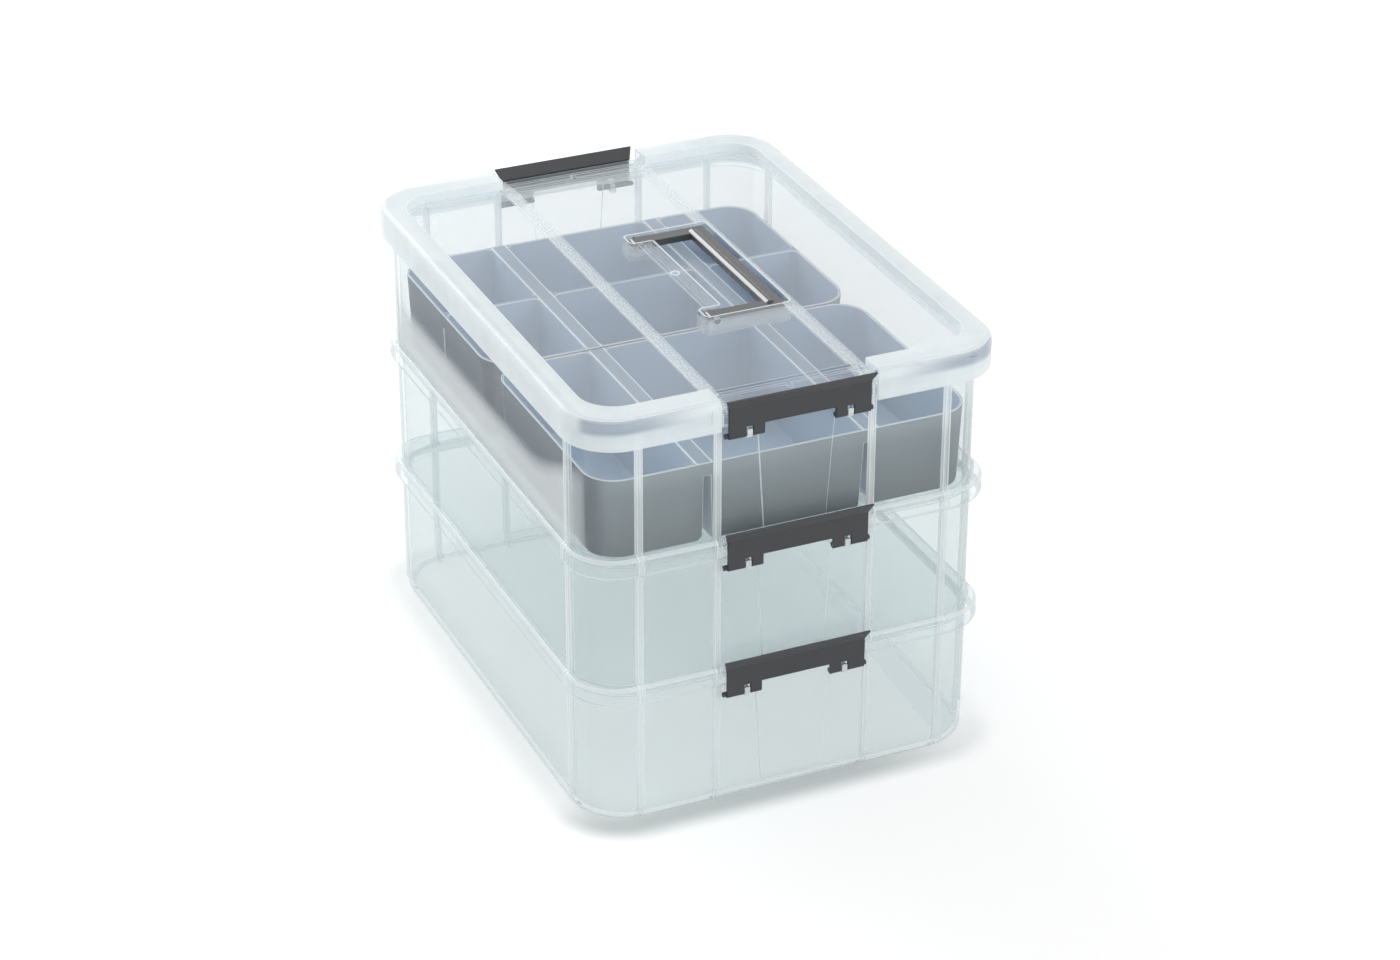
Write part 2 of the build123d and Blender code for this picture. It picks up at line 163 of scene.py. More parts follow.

# Painted shade on the floor, close to the foot of the box
FOOT_INSET = 5 * MM
FOOT_CORNER = 28 * MM
SHADE_HALF = 2 * MM
SHADE_REACH = 20 * MM
FLOOR_COLOUR = (0.8, 0.8, 0.8, 1.0)
FLOOR_PAINTED_SHADE = (0.42, 0.44, 0.44, 1.0)
GLOW_PAINTED_SHADE = (0.55, 0.58, 0.58, 1.0)
FLOOR_HALF = 6.0

# Clean-up of a copied solid
MERGE_DISTANCE = 0.002 * MM
FLAT_ANGLE = math.radians(0.05)
SMOOTH_ANGLE = math.radians(40)
SHARP_ANGLE = math.radians(28)


class Value:
    """A socket of a finish's node tree, for use in sums."""

    def __init__(self, finish, socket):
        self.finish = finish
        self.socket = socket

    def __add__(self, other):
        return self.finish.maths("ADD", self, other)

    def __sub__(self, other):
        return self.finish.maths("SUBTRACT", self, other)

    def __rsub__(self, other):
        return self.finish.maths("SUBTRACT", other, self)

    def __mul__(self, other):
        return self.finish.maths("MULTIPLY", self, other)

    def __truediv__(self, other):
        return self.finish.maths("DIVIDE", self, other)

    def __pow__(self, other):
        return self.finish.maths("POWER", self, other)

    def __abs__(self):
        return self.finish.maths("ABSOLUTE", self)

    __radd__ = __add__
    __rmul__ = __mul__


class Finish:
    """The nodes of a material or of the sky, built from node calls and sums of values."""

    def __init__(self, owner):
        self.owner = owner
        self.owner.use_nodes = True
        self.tree = owner.node_tree
        self.tree.nodes.clear()

    def node(self, kind, settings=None, inputs=None, output=0):
        """Adds a node: its settings first, then the values or links of its sockets."""
        made = self.tree.nodes.new(kind)
        for name, value in (settings or {}).items():
            setattr(made, name, value)
        for name, value in (inputs or {}).items():
            if isinstance(value, Value):
                self.tree.links.new(value.socket, made.inputs[name])
            else:
                made.inputs[name].default_value = value
        return Value(self, made.outputs[output])

    def maths(self, operation, *values):
        return self.node("ShaderNodeMath", {"operation": operation}, dict(enumerate(values)))

    def split(self, output):
        """The x, y and z of one of the object's own coordinates."""
        coordinates = self.node("ShaderNodeTexCoord", output=output)
        parts = self.tree.nodes.new("ShaderNodeSeparateXYZ")
        self.tree.links.new(coordinates.socket, parts.inputs[0])
        return [Value(self, socket) for socket in parts.outputs]

    def place(self):
        """The x, y and z of a surface point, in metres."""
        return self.split("Object")

    def direction(self):
        """The x, y and z of the way the surface faces, so z is 1 on a level top and 0 on a wall."""
        return self.split("Normal")

    def outside_by(self, x, y, half_x, half_y, corner):
        """Distance outside the outline of a rounded rectangle, negative inside it."""
        over_x = abs(x) - (half_x - corner)
        over_y = abs(y) - (half_y - corner)
        beside = self.maths("MAXIMUM", over_x, 0.0)
        beyond = self.maths("MAXIMUM", over_y, 0.0)
        inside = self.maths("MINIMUM", self.maths("MAXIMUM", over_x, over_y), 0.0)
        return self.maths("SQRT", beside * beside + beyond * beyond) + inside - corner

    def most(self, *values):
        """The greatest of some values."""
        result = values[0]
        for value in values[1:]:
            result = self.maths("MAXIMUM", result, value)
        return result

    def noise(self, size, detail=2.0):
        """Cloudy noise from 0 to 1, with blobs of about that size in metres."""
        coordinates = self.node("ShaderNodeTexCoord", output="Object")
        sockets = {"Vector": coordinates, "Scale": 1 / size, "Detail": detail}
        return self.node("ShaderNodeTexNoise", None, sockets)

    def step(self, value, start, end):
        """0 before start, 1 after end, with a smooth change between."""
        sockets = {"Value": value, "From Min": start, "From Max": end}
        return self.node("ShaderNodeMapRange", {"interpolation_type": "SMOOTHSTEP"}, sockets)

    def near(self, value, place, half, soft):
        """1 within half of a place, fading to 0 over a soft border."""
        return 1 - self.step(abs(value - place), half, half + soft)

    def within(self, value, low, high, soft):
        """1 between two values, fading to 0 over a soft border."""
        return self.step(value, low - soft, low) * (1 - self.step(value, high, high + soft))

    def mixed(self, share, first, second):
        """Colour between two colours."""
        settings = {"data_type": "RGBA", "blend_type": "MIX"}
        return self.node("ShaderNodeMix", settings, {0: share, 6: first, 7: second}, output=2)

    def bump(self, height, strength, distance):
        sockets = {"Height": height, "Strength": strength, "Distance": distance}
        return self.node("ShaderNodeBump", None, sockets)

    def facing(self):
        """0 where the surface faces the eye, 1 at its outline."""
        return self.node("ShaderNodeLayerWeight", None, {"Blend": 0.5}, output="Facing")

    def seen_by(self, *rays):
        """1 for some kinds of ray, 0 for the others."""
        return self.most(*[self.node("ShaderNodeLightPath", output=ray) for ray in rays])

    def blend(self, share, first, second):
        """Shader between two shaders."""
        return self.node("ShaderNodeMixShader", None, {0: share, 1: first, 2: second})

    def plastic(self, inputs):
        return self.node("ShaderNodeBsdfPrincipled", None, inputs)

    def done(self, shader, end="ShaderNodeOutputMaterial"):
        """Ends the tree in a shader and gives its material or sky."""
        last = self.tree.nodes.new(end)
        self.tree.links.new(shader.socket, last.inputs["Surface"])
        return self.owner


def new_finish(name):
    return Finish(bpy.data.materials.new(name))


def rgba(colour):
    return (*colour, 1.0)


def mottled(clouds, amount):
    """Factor about 1 that varies by an amount with clouds from 0 to 1."""
    return 1 - amount / 2 + amount * clouds


def soft_solid(node, edge):
    """Copy of a solid with its sharp edges rounded; the rounded edges take the second finish."""
    shape = bmesh.new()
    shape.from_mesh(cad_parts[node].data)
    bmesh.ops.remove_doubles(shape, verts=shape.verts, dist=MERGE_DISTANCE)
    bmesh.ops.dissolve_limit(shape, angle_limit=FLAT_ANGLE, verts=shape.verts, edges=shape.edges)
    sharp = [e for e in shape.edges if e.is_manifold and e.calc_face_angle() > SHARP_ANGLE]
    rounded = bmesh.ops.bevel(
        shape, geom=sharp, offset=edge, offset_type="OFFSET", affect="EDGES", segments=2, profile=0.5,
        material=-1, clamp_overlap=False,
    )
    for face in rounded["faces"]:
        face.material_index = 1
    return shape


def new_piece(shape, piece):
    """Makes a shape an object, smooth but for its sharp edges."""
    mesh = bpy.data.meshes.new(piece)
    shape.to_mesh(mesh)
    shape.free()
    mesh.shade_smooth()
    mesh.set_sharp_from_angle(angle=SMOOTH_ANGLE)
    made = bpy.data.objects.new(piece, mesh)
    bpy.context.scene.collection.objects.link(made)
    weighted = made.modifiers.new("flat faces first", "WEIGHTED_NORMAL")
    weighted.keep_sharp = True
    return made


def dress(node, piece, materials, edge):
    """Shows a node as a soft-edged copy of itself with a finish for its faces and one for its edges."""
    made = new_piece(soft_solid(node, edge), piece)
    for material in materials:
        made.data.materials.append(material)
    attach(made, node)
    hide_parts(node)


class ClearSettings(bpy.types.PropertyGroup):
    """Finish of the clear boxes and the lid."""

    tint: FloatVectorProperty(
        name="Tint", description="Light that one surface of a box lets through", subtype="COLOR",
        default=(0.937, 0.955, 0.956),
    )
    lid_tint: FloatVectorProperty(
        name="Lid tint", description="Light that one surface of the lid lets through", subtype="COLOR",
        default=(0.952, 0.955, 0.958),
    )
    milk: FloatVectorProperty(
        name="Milk", description="Colour of the haze in the plastic", subtype="COLOR",
        default=(0.9, 0.94, 0.95),
    )
    # Colour of the painted shade in the hollow along the lid's rim, used in place of the milk
    cove_shade_colour: FloatVectorProperty(
        name="Cove colour", description="Haze in the hollow along the lid's rim", subtype="COLOR",
        default=(0.52, 0.58, 0.64),
    )
    wall_haze: FloatProperty(
        name="Wall haze", description="Haze of a box wall", subtype="FACTOR", default=0.12
    )
    # Milk of the painted reflection low on the top box's left wall
    painted_sheen_haze: FloatProperty(
        name="Mist haze", description="Sheen low on the top box's left wall", subtype="FACTOR", default=0.95
    )
    floor_haze: FloatProperty(
        name="Floor haze", description="Haze of a box's floor", subtype="FACTOR", default=0.1
    )
    rim_haze: FloatProperty(
        name="Rim haze", description="Haze of a box's rim", subtype="FACTOR", default=0.1
    )
    rib_haze: FloatProperty(
        name="Rib haze", description="Haze of the upright ribs", subtype="FACTOR", default=0.5
    )
    # Painted highlight on the rounded turns of a box's rim and foot
    turn_highlight_haze: FloatProperty(
        name="Line haze", description="Haze of a box's rounded turns", subtype="FACTOR", default=0.68
    )
    # Painted highlight on small rounded edges; the clips take the same milk
    edge_haze: FloatProperty(
        name="Edge haze", description="Haze of small rounded edges", subtype="FACTOR", default=0.88
    )
    panel_haze: FloatProperty(
        name="Panel haze", description="Haze of the lid's sunk panel", subtype="FACTOR", default=0.17
    )
    lid_top_haze: FloatProperty(
        name="Lid top haze", description="Haze of the top of the lid's rim", subtype="FACTOR", default=0.63
    )
    # Painted highlight lines along the lid's rim
    lid_highlight_haze: FloatProperty(
        name="Lid line haze", description="Haze of the lines along the lid's rim", subtype="FACTOR",
        default=0.884,
    )
    lid_side_haze: FloatProperty(
        name="Lid side haze", description="Haze of the outside of the lid's rim", subtype="FACTOR",
        default=0.66,
    )
    lid_inside_haze: FloatProperty(
        name="Lid inside haze", description="Haze of the underside of the lid's rim", subtype="FACTOR",
        default=0.15,
    )
    # Painted highlight on the lid's small rounded edges
    lid_edge_highlight_haze: FloatProperty(
        name="Lid edge haze", description="Haze of the lid's small rounded edges", subtype="FACTOR",
        default=0.66,
    )
    band_haze: FloatProperty(
        name="Band haze", description="Haze of the lid's frosted bands", subtype="FACTOR", default=0.55
    )
    pocket_haze: FloatProperty(
        name="Pocket haze", description="Haze of the walls of the handle's pocket", subtype="FACTOR",
        default=0.3,
    )
    roughness: FloatProperty(
        name="Roughness", description="Roughness of the boxes", subtype="FACTOR", default=0.08
    )
    lid_roughness: FloatProperty(
        name="Lid roughness", description="Roughness of the lid", subtype="FACTOR", default=0.18
    )
    edge: FloatProperty(
        name="Edge", description="Width of the small rounded edges", subtype="DISTANCE", default=0.3 * MM
    )


class SolidSettings(bpy.types.PropertyGroup):
    """Finish of the latches, the handle and the trays."""

    latch_colour: FloatVectorProperty(
        name="Latch colour", description="Charcoal of the latches", subtype="COLOR",
        default=(0.036, 0.039, 0.044),
    )
    # Painted shade on the latches' rounded edges
    latch_edge_shade: FloatProperty(
        name="Latch edge", description="Brightness of the latches' edges, next to their faces",
        subtype="FACTOR", default=0.35,
    )
    latch_roughness: FloatProperty(
        name="Latch roughness", description="Roughness of the latches", subtype="FACTOR", default=0.34
    )
    handle_colour: FloatVectorProperty(
        name="Handle colour", description="Grey of the handle", subtype="COLOR",
        default=(0.046, 0.049, 0.052),
    )
    handle_roughness: FloatProperty(
        name="Handle roughness", description="Roughness of the handle", subtype="FACTOR", default=0.17
    )
    tray_colour: FloatVectorProperty(
        name="Tray colour", description="Outside of the trays", subtype="COLOR",
        default=(0.222, 0.254, 0.274),
    )
    # Painted shade on the trays' left and right sides
    tray_side_shade_colour: FloatVectorProperty(
        name="Tray side colour", description="Left and right sides of the trays", subtype="COLOR",
        default=(0.045, 0.068, 0.105),
    )
    cup_colour: FloatVectorProperty(
        name="Cup colour", description="Inside of the trays' cups", subtype="COLOR",
        default=(0.5, 0.63, 0.785),
    )
    strip_colour: FloatVectorProperty(
        name="Strip colour", description="Top of the strips between cups", subtype="COLOR",
        default=(0.3, 0.39, 0.5),
    )
    # Colour of the painted highlights on the trays' edges and strips
    tray_highlight_colour: FloatVectorProperty(
        name="Tray edge colour", description="Pale edges of the trays", subtype="COLOR",
        default=(0.94, 0.97, 1.0),
    )
    tray_light: FloatVectorProperty(
        name="Tray light", description="Tint of light through a tray's wall", subtype="COLOR",
        default=(0.7, 0.755, 0.8),
    )
    tray_glow: FloatProperty(
        name="Tray glow", description="Share of light that comes through a tray's wall", subtype="FACTOR",
        default=0.18,
    )
    tray_roughness: FloatProperty(
        name="Tray roughness", description="Roughness of the trays", subtype="FACTOR", default=0.34
    )
    edge: FloatProperty(
        name="Edge", description="Width of the rounded edges", subtype="DISTANCE", default=0.3 * MM
    )
    tray_edge: FloatProperty(
        name="Tray edge", description="Width of the trays' pale edges", subtype="DISTANCE",
        default=0.55 * MM,
    )


class StageSettings(bpy.types.PropertyGroup):
    """Camera and light."""

    azimuth: FloatProperty(
        name="Azimuth", description="Turn of the view to the left of the front", subtype="ANGLE",
        default=math.radians(24.226),
    )
    elevation: FloatProperty(
        name="Elevation", description="Height of the view", subtype="ANGLE", default=math.radians(28.336)
    )
    roll: FloatProperty(
        name="Roll", description="Turn of the camera about its own axis", subtype="ANGLE",
        default=math.radians(0.157),
    )
    distance: FloatProperty(
        name="Distance", description="From the target to the camera", subtype="DISTANCE", default=2.2898
    )
    target: FloatVectorProperty(
        name="Target", description="Point at the middle of the view", subtype="XYZ",
        default=(0.0266, 0.0212, 0.1069),
    )
    lens: FloatProperty(name="Lens", description="Focal length in millimetres", default=92.32)
    sky: FloatProperty(name="Sky", description="Strength of the light from all round", default=0.6)
    key_power: FloatProperty(
        name="Key power", description="Power of the overhead lamp", subtype="POWER", default=6.0
    )
    back_power: FloatProperty(
        name="Back power", description="Power of the lamp behind", subtype="POWER", default=24.0
    )
    fill_power: FloatProperty(
        name="Fill power", description="Power of the front lamp", subtype="POWER", default=9.0
    )
    side_power: FloatProperty(
        name="Side power", description="Power of the left lamp", subtype="POWER", default=5.0
    )
    glow: FloatProperty(name="Glow", description="Light that the floor itself gives", default=0.32)


def clear_shader(finish, tint, milk, haze, roughness):
    """See-through plastic: a tinted clear share, a milky share and a sheen that grows at the outline."""
    lit_side = 1 - finish.seen_by("Is Shadow Ray")
    sheen = (SHEEN_LEAST + SHEEN_RISE * finish.facing() ** SHEEN_POWER) * lit_side
    haze = haze * (SHADOW_HAZE + (1 - SHADOW_HAZE) * lit_side)
    clear = finish.node("ShaderNodeBsdfTransparent", None, {"Color": rgba(tint)})
    lit = finish.node("ShaderNodeBsdfDiffuse", None, {"Color": milk})
    glow = finish.node("ShaderNodeBsdfTranslucent", None, {"Color": milk})
    milky = finish.blend(MILK_GLOW, lit, glow)
    gloss = finish.node("ShaderNodeBsdfGlossy", None, {"Color": WHITE, "Roughness": roughness})
    return finish.blend(sheen, finish.blend(haze, clear, milky), gloss)


def rib(finish, value, place):
    """A rib about a place, with a painted highlight along both sides."""
    offset = abs(value - place)
    whole = 1 - finish.step(offset, RIB_HALF, RIB_HALF + CRISP)
    # Painted highlight along the rib's two sides
    sides = finish.step(offset, RIB_CORE, RIB_EDGE)
    return whole * (1 + 0.9 * sides)


def box_finish(settings, base, painted_sheen_haze):
    """Clear box wall with a milky rim, ribs and clips, painted highlights on its rounded turns and along
    its ribs' sides, and a painted reflection, a misty sheen, low on its left.
    """
    finish = new_finish("clear plastic")
    x, y, z = finish.place()
    upward = finish.direction()[2]
    clouds = finish.noise(60 * MM, detail=3.0)
    rim = finish.step(z, base + RIM_LOW - MM, base + RIM_LOW + MM)
    foot = 1 - finish.step(z, base + FOOT_ROUND, base + FOOT_ROUND + MM)
    # Painted highlight: the rounded turns, picked by their slope
    turn = finish.within(abs(upward), TURN_LOW, TURN_HIGH, TURN_SOFT)
    level = finish.step(abs(upward), LEVEL_START, LEVEL_FULL)

    # Ribs and clips
    on_front = finish.step(abs(y), FRONT_WALL, FRONT_WALL + MM)
    on_side = finish.step(abs(x), SIDE_WALL, SIDE_WALL + MM)
    front_ribs = on_front * (rib(finish, abs(x), INNER_RIB) + rib(finish, abs(x), OUTER_RIB))
    side_ribs = on_side * rib(finish, abs(y), SIDE_RIB)
    clips = finish.step(abs(y), CLIP_PLACE, CLIP_PLACE + CRISP)
    clips = clips * finish.near(abs(x), CLIP_MIDDLE, CLIP_HALF, CRISP)
    clips = clips * finish.within(z, base + CLIP_LOW, base + CLIP_HIGH, CLIP_SOFT)

    # Painted reflection on the left wall, a milky sheen that grows towards its outline, higher towards the
    # front
    on_left = finish.step(0 - x, SIDE_WALL, SIDE_WALL + MM)
    painted_sheen_top = base + PAINTED_SHEEN_TOP + PAINTED_SHEEN_RISE * finish.step(0 - y, PAINTED_SHEEN_RISE_START, PAINTED_SHEEN_RISE_END)
    painted_sheen = on_left * (1 - finish.step(z - painted_sheen_top, -PAINTED_SHEEN_SOFT, PAINTED_SHEEN_SOFT))

    haze = finish.most(
        settings.wall_haze * mottled(clouds, 0.4) * (1 - 0.4 * on_side),
        # painted reflection low on the left wall
        painted_sheen_haze * painted_sheen * (1 - level) * finish.facing(),
        settings.floor_haze * level * foot,
        settings.rim_haze * rim,
        settings.rib_haze * finish.most(front_ribs, side_ribs),
        # painted highlight on the rounded turns
        settings.turn_highlight_haze * turn * finish.most(rim, foot * 0.5),
        settings.edge_haze * clips,
    )
    return finish.done(clear_shader(finish, settings.tint, rgba(settings.milk), haze, settings.roughness))


def edge_finish(settings, edge_haze, faint_low, faint_high):
    """Rounded edge of the clear plastic, made milky white as a painted highlight, less so between two
    heights.
    """
    finish = new_finish("clear edge")
    x, _, z = finish.place()
    faint = finish.within(z, faint_low, faint_high, CRISP)
    faint = faint * finish.step(abs(x), COVE_END - 2 * MM, COVE_END - MM)
    # Painted highlight, dimmer between the two heights away from the middle
    haze = edge_haze * mottled(finish.noise(20 * MM), 0.2) * (1 - 0.7 * faint)
    return finish.done(clear_shader(finish, settings.tint, rgba(settings.milk), haze, settings.roughness))


def pocket_distance(finish, x, y):
    """Distance outside the outline of the handle's pocket: a long opening with a hook at each end."""
    middle = finish.outside_by(x - POCKET_MIDDLE, y, POCKET_HALF_WIDTH, POCKET_HALF, POCKET_ROUND)
    along = abs(y) - HOOK_PLACE
    hooks = finish.outside_by(x - HOOK_MIDDLE, along, HOOK_HALF_WIDTH, HOOK_HALF, POCKET_ROUND)
    return finish.maths("MINIMUM", middle, hooks)


def lid_finish(settings, high):
    """Lid plastic: clear panel, frosted rim with a painted highlight on its ridge and a painted shade in
    its hollow, sparkling bands, milky pocket walls and a painted highlight on the pocket's lip.
    """
    finish = new_finish("lid plastic")
    x, y, z = finish.place()
    upward = finish.direction()[2]
    clouds = finish.noise(25 * MM, detail=3.0)
    level = finish.step(upward, LEVEL_START, LEVEL_FULL)
    upright = 1 - finish.step(abs(upward), UPRIGHT_FULL, UPRIGHT_END)
    below = finish.step(0 - upward, BELOW_START, BELOW_FULL)
    panel = high.z - LID_SINK
    panel_back = high.z - PANEL_BACK

    # Rim
    half_x = high.x - LID_BAND_SIDE
    half_y = high.y - LID_BAND_FRONT
    beyond = finish.outside_by(x, y, half_x, half_y, LID_INNER_CORNER)
    rim = finish.step(beyond, -2 * LID_BORDER, -LID_BORDER)
    rim = rim * finish.step(abs(x), LEDGE_HALF - MM, LEDGE_HALF - MM + LID_BORDER)
    # Painted highlight lines along the rim's inner edge and its rounded ridge
    inner = (1 - finish.step(beyond, MM - LID_BORDER, MM)) * finish.step(z, panel - MM, panel)
    ridge = finish.within(upward, RIDGE_LOW, RIDGE_HIGH, RIDGE_SOFT)
    outer = (1 - finish.step(upward, OUTER_FULL, OUTER_END)) * (1 - below)
    rim_haze = finish.most(
        settings.lid_top_haze * level,
        settings.lid_highlight_haze * finish.most(ridge, inner),
        settings.lid_side_haze * outer,
        settings.lid_inside_haze * below,
    )

    # Painted shade in the hollow along the front and the back of the rim: a darker milk colour high on its
    # outer face
    cove = finish.step(z, high.z - COVE_LOW, high.z - COVE_LOW + MM)
    cove = cove * finish.step(abs(x), COVE_FADE_START, COVE_FADE_END)
    cove = cove * finish.step(abs(y), half_y, half_y + COVE_DEPTH)
    shade = finish.within(z, high.z - COVE_SHADE_LOW, high.z - COVE_SHADE_HIGH, COVE_SHADE_SOFT)
    # The milk turns to the painted shade colour high in the hollow
    milk = finish.mixed(cove * shade * outer, rgba(settings.milk), rgba(settings.cove_shade_colour))

    # Bands, pocket walls and the painted highlight on the pocket's lip
    band = finish.near(abs(x), LID_BAND, LID_BAND_HALF, CRISP) * level
    sparkle = finish.step(finish.noise(1.2 * MM, detail=1.0), 0.35, 0.75)
    pocket = pocket_distance(finish, x, y)
    walls = 1 - finish.step(pocket, POCKET_WALL, POCKET_WALL + POCKET_WALL_SOFT)
    walls = walls * (1 - finish.step(z, panel_back - CRISP, panel_back))
    walls = walls * upright * finish.step(abs(y), HOOK_INNER - MM, HOOK_INNER)
    # Painted highlight along the pocket's lip
    lip = level * finish.step(z, panel - MM, panel - 0.5 * MM)
    lip = lip * (1 - finish.step(pocket, POCKET_LIP, POCKET_LIP + POCKET_LIP_SOFT))
    sunk = 1 - finish.step(z, panel_back - 2 * CRISP, panel_back)

    haze = finish.most(
        settings.panel_haze * mottled(clouds, 0.3) * (1 - rim) * (1 - 0.9 * sunk * upright),
        rim_haze * mottled(clouds, 0.4) * rim,
        settings.band_haze * mottled(sparkle, 0.6) * band * (1 - rim),
        settings.pocket_haze * walls,
        settings.edge_haze * lip,
    )
    return finish.done(clear_shader(finish, settings.lid_tint, milk, haze, settings.lid_roughness))


def latch_finish(settings, share):
    """Charcoal plastic, at a share of the latches' brightness; a share below 1 gives the edges a painted
    shade.
    """
    finish = new_finish("charcoal plastic")
    clouds = finish.noise(12 * MM)
    grain = finish.noise(0.5 * MM)
    dark = Vector(settings.latch_colour) * share
    return finish.done(finish.plastic({
        "Base Color": finish.mixed(clouds, rgba(dark * 0.9), rgba(dark * 1.12)),
        "Roughness": settings.latch_roughness + 0.08 * clouds,
        "Normal": finish.bump(grain, 0.12, 0.15 * MM),
    }))


def handle_finish(settings):
    """Glossy grey plastic."""
    finish = new_finish("grey plastic")
    clouds = finish.noise(15 * MM)
    grain = finish.noise(0.6 * MM)
    grey = Vector(settings.handle_colour)
    return finish.done(finish.plastic({
        "Base Color": finish.mixed(clouds, rgba(grey * 0.94), rgba(grey * 1.06)),
        "Roughness": settings.handle_roughness + 0.06 * clouds,
        "Specular IOR Level": 1.0,
        "Normal": finish.bump(grain, 0.08, 0.12 * MM),
    }))


def tray_shader(finish, settings, colour, share):
    """Satin plastic that lets some light through, at a share of the trays' glow."""
    skin = finish.plastic({
        "Base Color": colour,
        "Roughness": settings.tray_roughness,
        "Specular IOR Level": 0.25,
    })
    glow = finish.node("ShaderNodeBsdfTranslucent", None, {"Color": rgba(settings.tray_light)})
    return finish.blend(share * settings.tray_glow, skin, glow)


def tray_finish(settings, low, high):
    """Smoke plastic: grey outside with a painted shade, darker towards the bottom and on the left and right
    sides, blue inside the cups, and painted highlights as pale lines on the strips.
    """
    finish = new_finish("smoke plastic")
    x, y, z = finish.place()
    middle = (low + high) / 2
    half = (high - low) / 2
    depth = (high.z - z) / (high.z - low.z)
    outline = finish.outside_by(x, y - middle.y, half.x, half.y, TRAY_CORNER)
    skin = finish.step(outline + TRAY_DRAFT * depth, -TRAY_SKIN, -TRAY_SKIN / 2)
    # Painted shade on the outside faces that turn left or right
    side = finish.step(abs(finish.direction()[0]), 0.5, 0.95) * skin
    top = finish.step(z, high.z - TRAY_TOP, high.z - TRAY_TOP / 2)
    strip = abs(abs(x) - STRIP_MIDDLE)
    # Painted highlights: pale lines along both edges of each strip's top
    lines = top * finish.within(strip, STRIP_HALF - STRIP_LINE, STRIP_HALF, CRISP)

    outside = Vector(settings.tray_colour)
    # Painted shade: the outside lighter at the top, darker towards the bottom
    painted_shade_outside = finish.mixed(depth, rgba(outside * 1.3), rgba(outside * 0.6))
    painted_shade_outside = finish.mixed(side, painted_shade_outside, rgba(settings.tray_side_shade_colour))
    colour = finish.mixed(skin, rgba(settings.cup_colour), painted_shade_outside)
    colour = finish.mixed(top, colour, rgba(settings.strip_colour))
    colour = finish.mixed(lines, colour, rgba(settings.tray_highlight_colour))
    # The shaded sides let less light through
    return finish.done(tray_shader(finish, settings, colour, 1 - 0.65 * side))


def tray_edge_finish(settings):
    """Edge of a tray in a pale colour, a painted highlight."""
    finish = new_finish("smoke edge")
    return finish.done(tray_shader(finish, settings, rgba(settings.tray_highlight_colour), 1))


class SEWING_OT_boxes(bpy.types.Operator):
    """Dress the three clear boxes"""

    bl_idname = "sewing.boxes"
    bl_label = "Clear boxes"

    def execute(self, context):
        settings = context.scene.sewing_clear
        rounded = edge_finish(settings, settings.edge_haze, FLOOR_LEVEL, FLOOR_LEVEL)
        for tier in TIERS:
            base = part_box(f"{tier}_box")[0].z
            # Only the top box takes the painted reflection
            painted_sheen_haze = settings.painted_sheen_haze if tier == "top" else 0
            finishes = (box_finish(settings, base, painted_sheen_haze), rounded)
            dress(f"{tier}_box", f"{tier}_box_walls", finishes, settings.edge)
        return {"FINISHED"}


class SEWING_OT_lid(bpy.types.Operator):
    """Dress the lid"""

    bl_idname = "sewing.lid"
    bl_label = "Lid"

    def execute(self, context):
        settings = context.scene.sewing_clear
        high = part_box("lid")[1]
        faint_low = high.z - COVE_EDGE_LOW
        faint_high = high.z - COVE_EDGE_HIGH
        rounded = edge_finish(settings, settings.lid_edge_highlight_haze, faint_low, faint_high)
        dress("lid", "lid_shell", (lid_finish(settings, high), rounded), settings.edge)

        # Ring left by the mould in the middle of the panel
        shape = bmesh.new()
        centre = Vector((RING_X, RING_Y, high.z - LID_SINK))
        edge_place = Matrix.Translation(centre + Vector((RING_RADIUS, 0, 0)))
        start = edge_place @ Matrix.Rotation(math.pi / 2, 4, "X")
        bmesh.ops.create_circle(shape, segments=RING_SIDES, radius=RING_THICKNESS, matrix=start)
        bmesh.ops.spin(
            shape, geom=shape.edges[:], cent=centre, axis=(0, 0, 1), dvec=(0, 0, 0), angle=math.tau,
            steps=RING_STEPS, use_merge=True, use_normal_flip=False, use_duplicate=False,
        )
        bmesh.ops.recalc_face_normals(shape, faces=shape.faces)
        ring = new_piece(shape, "lid_mould_ring")
        ring.data.materials.append(rounded)
        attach(ring, "lid")
        return {"FINISHED"}


class SEWING_OT_latches(bpy.types.Operator):
    """Dress the latches"""

    bl_idname = "sewing.latches"
    bl_label = "Latches"

    def execute(self, context):
        settings = context.scene.sewing_solid
        # The edges take the painted shade
        finishes = (latch_finish(settings, 1), latch_finish(settings, settings.latch_edge_shade))
        for tier in TIERS:
            for side in SIDES:
                node = f"{tier}_{side}_latch"
                dress(node, f"{node}_plate", finishes, settings.edge)
        return {"FINISHED"}


class SEWING_OT_handle(bpy.types.Operator):
    """Dress the carry handle"""

    bl_idname = "sewing.handle"
    bl_label = "Carry handle"

    def execute(self, context):
        settings = context.scene.sewing_solid
        material = handle_finish(settings)
        dress("carry_handle", "carry_handle_bail", (material, material), settings.edge)
        return {"FINISHED"}


class SEWING_OT_trays(bpy.types.Operator):
    """Dress the trays"""

    bl_idname = "sewing.trays"
    bl_label = "Trays"

    def execute(self, context):
        settings = context.scene.sewing_solid
        pale = tray_edge_finish(settings)
        for side in SIDES:
            finishes = (tray_finish(settings, *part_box(f"{side}_tray")), pale)
            dress(f"{side}_tray", f"{side}_tray_cups", finishes, settings.tray_edge)
        return {"FINISHED"}


